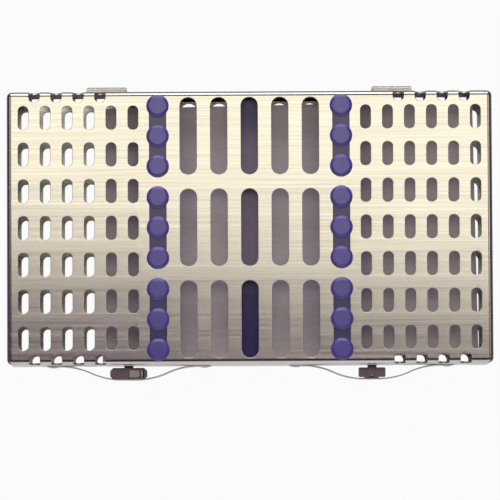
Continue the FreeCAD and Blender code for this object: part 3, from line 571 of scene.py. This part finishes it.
def retainer(x, plate_z, side, pad):
    """Pad behind the plate and the heads in front of it. Levels run inwards."""
    form = bmesh.new()

    def at(u, v, w):
        return (x + u, CENTRE_Y + v, plate_z - side * w)

    prism(form, rounded_loop(PAD_WIDTH / 2, PAD_HALF, PAD_CORNER, 4), SHEET, SHEET + pad, at)
    head = [(HEAD_RADIUS, 0.0), (HEAD_RADIUS, -HEAD_SHOULDER / 2), (HEAD_BEVEL, -HEAD_SHOULDER),
            (HEAD_FLAT, HEAD_CROWN - HEAD_HEIGHT), (HEAD_FLAT - HEAD_LIP, -HEAD_HEIGHT)]
    stem = [(LONG_WIDTH / 2 - FIT, BAR_RECESS), (LONG_WIDTH / 2 - FIT, 0.0)]
    for row in range(LONG_ROWS):
        y = (row - (LONG_ROWS - 1) / 2) * LONG_PITCH_Y
        for number in range(HEADS):
            head_y = y + (number - (HEADS - 1) / 2) * HEAD_PITCH

            def on_head(u, v, w, middle=head_y):
                return at(u, middle + v, w)

            turned(form, head, on_head, HEAD_SIDES)
            turned(form, stem, on_head, HEAD_SIDES)
    return form


def lid_strips():
    for side_name in ("left", "right"):
        node = f"lid_strip_{side_name}"
        low, high = box_mm(node)
        x = (low.x + high.x) / 2
        form = retainer(x, LID_HIGH.z, 1, LID_PAD)
        root = LID_HIGH.z - SHEET - LID_PAD
        rib = [(-RIB_ROOT / 2, root), (RIB_ROOT / 2, root), (RIB_TIP / 2, low.z + RIB_EASE),
               (RIB_TIP / 2 - RIB_EASE, low.z), (RIB_EASE - RIB_TIP / 2, low.z),
               (-RIB_TIP / 2, low.z + RIB_EASE)]
        prism(form, rib, -PAD_HALF, PAD_HALF, lambda u, v, w: (x + u, CENTRE_Y + w, v))
        made = ease_edges(finished(node + "_moulding", form, "silicone", 25), MOULDING_EASE)
        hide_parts(node)
        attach(made, "lid")
        bars(node + "_bars", x, LID_HIGH.z, 1, "lid")


def comb_profile(root, top):
    """Side of the comb: round-bottomed gaps between fingers with eased tips, from low Y to high Y."""
    pitch = LONG_PITCH_Y / HEADS
    count = LONG_ROWS * HEADS - 1
    ease = FINGER_EASE
    half = FINGER_GAP / 2
    profile = [(-PAD_HALF, root), (-PAD_HALF, top - ease), (-PAD_HALF + ease, top)]
    for number in range(count):
        y = (number - (count - 1) / 2) * pitch
        profile += [(y - half - ease / 2, top), (y - half, top - ease)]
        profile += arc(y, GAP_BOTTOM + half, half, 180, 360, 12)
        profile += [(y + half, top - ease), (y + half + ease / 2, top)]
    profile += [(PAD_HALF - ease, top), (PAD_HALF, top - ease), (PAD_HALF, root)]
    return profile


def base_rails():
    for side_name in ("left", "right"):
        node = f"base_rail_{side_name}"
        low, high = box_mm(node)
        x = (low.x + high.x) / 2
        form = retainer(x, BASE_LOW.z, -1, BASE_PAD)
        profile = comb_profile(BASE_LOW.z + SHEET + BASE_PAD, high.z)
        prism(form, profile, -FINGER_WIDTH / 2, FINGER_WIDTH / 2, lambda u, v, w: (x + w, CENTRE_Y + u, v))
        made = ease_edges(finished(node + "_moulding", form, "silicone", 25), MOULDING_EASE)
        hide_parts(node)
        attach(made, "base")
        bars(node + "_bars", x, BASE_LOW.z, -1, "base")


def bow_line():
    """Middle line of the bow, as offsets along X and away from the wall, from its crest to one foot."""
    run = SPRING_HALF - SPRING_FLAT / 2
    rise = SPRING_REACH - SPRING_SHEET
    radius = (run ** 2 + rise ** 2) / (4 * rise)
    slope = math.asin(run / 2 / radius)
    start = SPRING_FLAT / 2
    crest = SPRING_REACH - SPRING_SHEET / 2
    points = [(0.0, crest), (start, crest)]
    for n in range(1, SPRING_STEPS + 1):
        angle = slope * n / SPRING_STEPS
        points.append((start + radius * math.sin(angle), crest - radius * (1 - math.cos(angle))))
    for n in range(1, SPRING_STEPS + 1):
        angle = slope * (1 - n / SPRING_STEPS)
        points.append((SPRING_HALF - radius * math.sin(angle),
                       SPRING_SHEET / 2 + radius * (1 - math.cos(angle))))
    points.append((SPRING_HALF + SPRING_FOOT, SPRING_SHEET / 2))
    return points


def strip_loop():
    """Outline of the bow's strip, half its thickness each side of its middle line."""
    half = bow_line()
    line = [(-x, out) for x, out in reversed(half[1:])] + half
    outer, inner = [], []
    for number, (x, out) in enumerate(line):
        before = line[max(0, number - 1)]
        after = line[min(len(line) - 1, number + 1)]
        along = Vector((after[0] - before[0], after[1] - before[1])).normalized()
        across = Vector((-along.y, along.x)) * (SPRING_SHEET / 2)
        outer.append((x + across.x, out + across.y))
        inner.append((x - across.x, out - across.y))
    return outer + inner[::-1]


def springs():
    """Bows of spring strip, shown in their resting shape; on the real cassette they flatten as the tongues
    are pushed in.
    """
    loop = strip_loop()
    for side_name, middle in (("left", -LATCH_X), ("right", LATCH_X)):
        node = f"latch_spring_{side_name}"
        low, high = box_mm(node)
        form = bmesh.new()
        prism(form, loop, low.z, high.z, lambda u, v, w: (middle + u, high.y - v, w))
        made = ease_edges(finished(f"{node}_strip", form, "spring_steel", 30), STRIP_EASE, segments=3)
        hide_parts(node)
        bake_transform(made)


def left_latch():
    """Tongue with its folded grip: chamfered block with a shallow window, in which a bright fold shows."""
    tongue_low, tongue_high = box_mm("latch_tongue_left")
    grip_low, grip_high = box_mm("latch_grip_left")
    front, back = grip_low.y, grip_high.y + GRIP_BACK
    half = (grip_high.x - grip_low.x) / 2
    near, far = front + GRIP_WINDOW_RAIL, back - GRIP_WINDOW_RAIL
    start, end = GRIP_WINDOW_START, half - GRIP_WINDOW_MARGIN
    sill = grip_high.z - GRIP_WINDOW_SINK

    def at(u, v, w):
        return (-LATCH_X + u, v, w)

    def block(left, right, low_y, high_y, low_z, high_z):
        prism(form, [(left, low_y), (right, low_y), (right, high_y), (left, high_y)], low_z, high_z, at)

    form = bmesh.new()
    closed = [(start, front), (start, back), (GRIP_CHAMFER - half, back), (-half, back - GRIP_CHAMFER),
              (-half, front + GRIP_CHAMFER), (GRIP_CHAMFER - half, front)]
    prism(form, closed, grip_low.z, grip_high.z, at)
    framed = [(start, front), (half - GRIP_CHAMFER, front), (half, front + GRIP_CHAMFER),
              (half, back - GRIP_CHAMFER), (half - GRIP_CHAMFER, back), (start, back),
              (start, far), (end, far), (end, near), (start, near)]
    prism(form, framed, grip_low.z, grip_high.z, at)
    block(start, end, near, far, grip_low.z, sill)
    block(-NECK_HALF, NECK_HALF, back, tongue_high.y, grip_low.z, grip_low.z + TONGUE_SHEET)
    block(-TAB_HALF, TAB_HALF, tongue_low.y, tongue_low.y + TAB_SHEET, tongue_low.z, grip_low.z)
    # grip and tongue in dark_steel, with its painted shade
    made = ease_edges(finished("latch_left_body", form, "dark_steel", 30), GRIP_EASE)
    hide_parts("latch_grip_left", "latch_tongue_left")
    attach(made, "left_latch")
    fold_in_window(start, end, near + FOLD_PLAY, far - FOLD_PLAY, sill)


def fold_in_window(start, end, near, far, sill):
    """Bright folded strip on the sill of the grip's window."""
    form = bmesh.new()
    ridge_x = end - FOLD_RADIUS - FOLD_LIFT
    profile = [(start + FIT, sill), (start + FIT, sill + FOLD_SHEET),
               (ridge_x - FOLD_RADIUS - FOLD_LIFT, sill + FOLD_SHEET),
               *arc(ridge_x, sill + FOLD_LIFT, FOLD_RADIUS, 180, 0, 12), (ridge_x + FOLD_RADIUS, sill)]
    prism(form, profile, near, far, lambda u, v, w: (-LATCH_X + u, w, v))
    strip = weigh_normals(finished("latch_left_fold", form, "plain_steel", 40))
    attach(strip, "left_latch")


def rivets():
    """Domed rivets in the springs' feet."""
    wall = box_mm("latch_rivets")[1].y - RIVET_DOME[-1][1] - SHEET
    form = bmesh.new()
    dome = [(RIVET_HEAD - inset, rise) for inset, rise in RIVET_DOME]
    for side in (-1, 1):
        for end in (-1, 1):
            x = side * LATCH_X + end * RIVET_OFFSET

            def on_wall(u, v, w, middle=x):
                return (middle + u, wall + w, RIVET_HEIGHT + v)

            turned(form, [(r, -SPRING_SHEET - w) for r, w in dome], on_wall, RIVET_SIDES)
            turned(form, [(RIVET_SHANK, -SPRING_SHEET), (RIVET_SHANK, SHEET)], on_wall, RIVET_SIDES)
            turned(form, [(r, SHEET + w) for r, w in dome], on_wall, RIVET_SIDES)
    made = weigh_normals(finished("rivet_heads", form, "plain_steel", 60))
    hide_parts("latch_rivets")
    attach(made, "base")


def dress():
    """Give the pieces whose own meshes are shown their finish."""
    finishes = {part["node"]: part["material_slot"] for part in frame["record"]["subparts"]}
    # the middle sleeve takes a darker copy of the silicone, with painted shade and a painted sheen
    finishes["centre_sleeve"] = "sleeve_silicone_shade_and_sheen"
    for node, piece in NODES.items():
        piece.data.materials.clear()
        piece.data.materials.append(MATERIALS[finishes[node]])


def floor_share(finish):
    """Share of white: nearly all for the camera, some for reflections of the floor in front of the lid."""
    rays = finish.tree.nodes.new("ShaderNodeLightPath")
    x, y = finish.across()
    beside = finish.maths("LESS_THAN", finish.maths("ABSOLUTE", x, 0), TABLE_HALF)
    ahead = finish.maths("MULTIPLY", beside, finish.maths("LESS_THAN", y, LID_LOW.y * MM))
    glossy = finish.maths("MULTIPLY", rays.outputs["Is Glossy Ray"], ahead)
    mirrored = finish.maths("MULTIPLY", glossy, TABLE_GLOW)
    direct = finish.maths("MULTIPLY", rays.outputs["Is Camera Ray"], FLOOR_GLOW)
    return finish.maths("ADD", direct, mirrored)


def floor():
    """Pale floor that is nearly white to the camera and keeps the object's shadow."""
    finish = Finish("floor")
    finish.colour(finish.noise(40), (0.26, 0.25, 0.26), (0.30, 0.29, 0.30))
    finish.shader.inputs["Roughness"].default_value = 0.9
    tree = finish.tree
    glow = tree.nodes.new("ShaderNodeEmission")
    glow.inputs["Color"].default_value = (1, 1, 1, 1)
    glow.inputs["Strength"].default_value = 1.0
    mix = tree.nodes.new("ShaderNodeMixShader")
    tree.links.new(floor_share(finish), mix.inputs["Fac"])
    tree.links.new(finish.shader.outputs["BSDF"], mix.inputs[1])
    tree.links.new(glow.outputs["Emission"], mix.inputs[2])
    tree.links.new(mix.outputs["Shader"], tree.nodes["Material Output"].inputs["Surface"])
    mesh = bpy.data.meshes.new("floor")
    corners = [(x * FLOOR_HALF, y * FLOOR_HALF, 0) for x, y in ((-1, -1), (1, -1), (1, 1), (-1, 1))]
    mesh.from_pydata(corners, [], [(0, 1, 2, 3)])
    mesh.materials.append(finish.material)
    made = bpy.data.objects.new("floor", mesh)
    made.location.z = -FLOOR_DROP
    bpy.context.collection.objects.link(made)


def room():
    """White to the camera; to the object a dim room, darker towards the horizon."""
    world = bpy.data.worlds.new("room")
    bpy.context.scene.world = world
    world.use_nodes = True
    tree = world.node_tree
    dim = tree.nodes["Background"]
    place = tree.nodes.new("ShaderNodeTexCoord")
    parts = tree.nodes.new("ShaderNodeSeparateXYZ")
    tree.links.new(place.outputs["Generated"], parts.inputs["Vector"])
    ramp = tree.nodes.new("ShaderNodeValToRGB")
    ramp.color_ramp.elements[0].position = ROOM_RAMP_START
    ramp.color_ramp.elements[0].color = (*ROOM_LOW, 1)
    ramp.color_ramp.elements[1].position = ROOM_RAMP_END
    ramp.color_ramp.elements[1].color = (*ROOM_HIGH, 1)
    tree.links.new(parts.outputs["Z"], ramp.inputs["Fac"])
    tree.links.new(ramp.outputs["Color"], dim.inputs["Color"])
    white = tree.nodes.new("ShaderNodeBackground")
    white.inputs["Color"].default_value = (1, 1, 1, 1)
    rays = tree.nodes.new("ShaderNodeLightPath")
    mix = tree.nodes.new("ShaderNodeMixShader")
    tree.links.new(rays.outputs["Is Camera Ray"], mix.inputs["Fac"])
    tree.links.new(dim.outputs["Background"], mix.inputs[1])
    tree.links.new(white.outputs["Background"], mix.inputs[2])
    tree.links.new(mix.outputs["Shader"], tree.nodes["World Output"].inputs["Surface"])


def softbox(name, place, target, size, radiance, colour, turn=0.0):
    """Rectangular lamp whose brightness is given as radiance, turned about its own axis by turn degrees."""
    lamp = bpy.data.lights.new(name, "AREA")
    lamp.shape = "RECTANGLE"
    lamp.size, lamp.size_y = size
    lamp.energy = radiance * math.pi * size[0] * size[1]
    lamp.color = colour
    made = bpy.data.objects.new(name, lamp)
    made.location = place
    aim = (Vector(place) - Vector(target)).to_track_quat("Z", "Y")
    made.rotation_euler = (aim @ Quaternion((0, 0, 1), math.radians(turn))).to_euler()
    bpy.context.collection.objects.link(made)


def lights():
    """Warm strip over the back half of the lid, and panels behind and in front that the bends reflect."""
    softbox("overhead", place=(0.013, 0.090, 0.45), target=(0.013, 0.090, 0), size=(1.0, 0.166),
            radiance=1.37, colour=(1.0, 0.95, 0.72), turn=-5)
    softbox("back_panel", place=(0, 0.85, 0.55), target=(0, 0, 0.55), size=(1.0, 0.86),
            radiance=1.9, colour=(1.0, 0.98, 0.96))
    softbox("front_panel", place=(0, -0.55, 0.22), target=(0, 0, 0.22), size=(1.2, 0.4),
            radiance=0.7, colour=(1.0, 0.95, 0.86))


def camera():
    """Long lens almost square to the lid, leaning to the latch side."""
    away = math.radians(ELEVATION)
    back = Vector((0, -math.cos(away), math.sin(away)))
    right = Vector((1, 0, 0))
    turn = Quaternion(back, -math.radians(ROLL)).to_matrix()
    axes = turn @ Matrix((right, back.cross(right), back)).transposed()
    made = bpy.data.objects.new("camera", bpy.data.cameras.new("camera"))
    made.matrix_world = Matrix.Translation(AIM + back * DISTANCE) @ axes.to_4x4()
    made.data.sensor_width = SENSOR
    made.data.lens = SENSOR * DISTANCE / VIEW_WIDTH
    made.data.clip_start = NEAREST
    bpy.context.collection.objects.link(made)
    bpy.context.scene.camera = made


dress()
lid_sheet()
base_sheet()
lid_strips()
base_rails()
springs()
left_latch()
rivets()
floor()
room()
lights()
camera()
bpy.context.scene.view_settings.view_transform = "Standard"
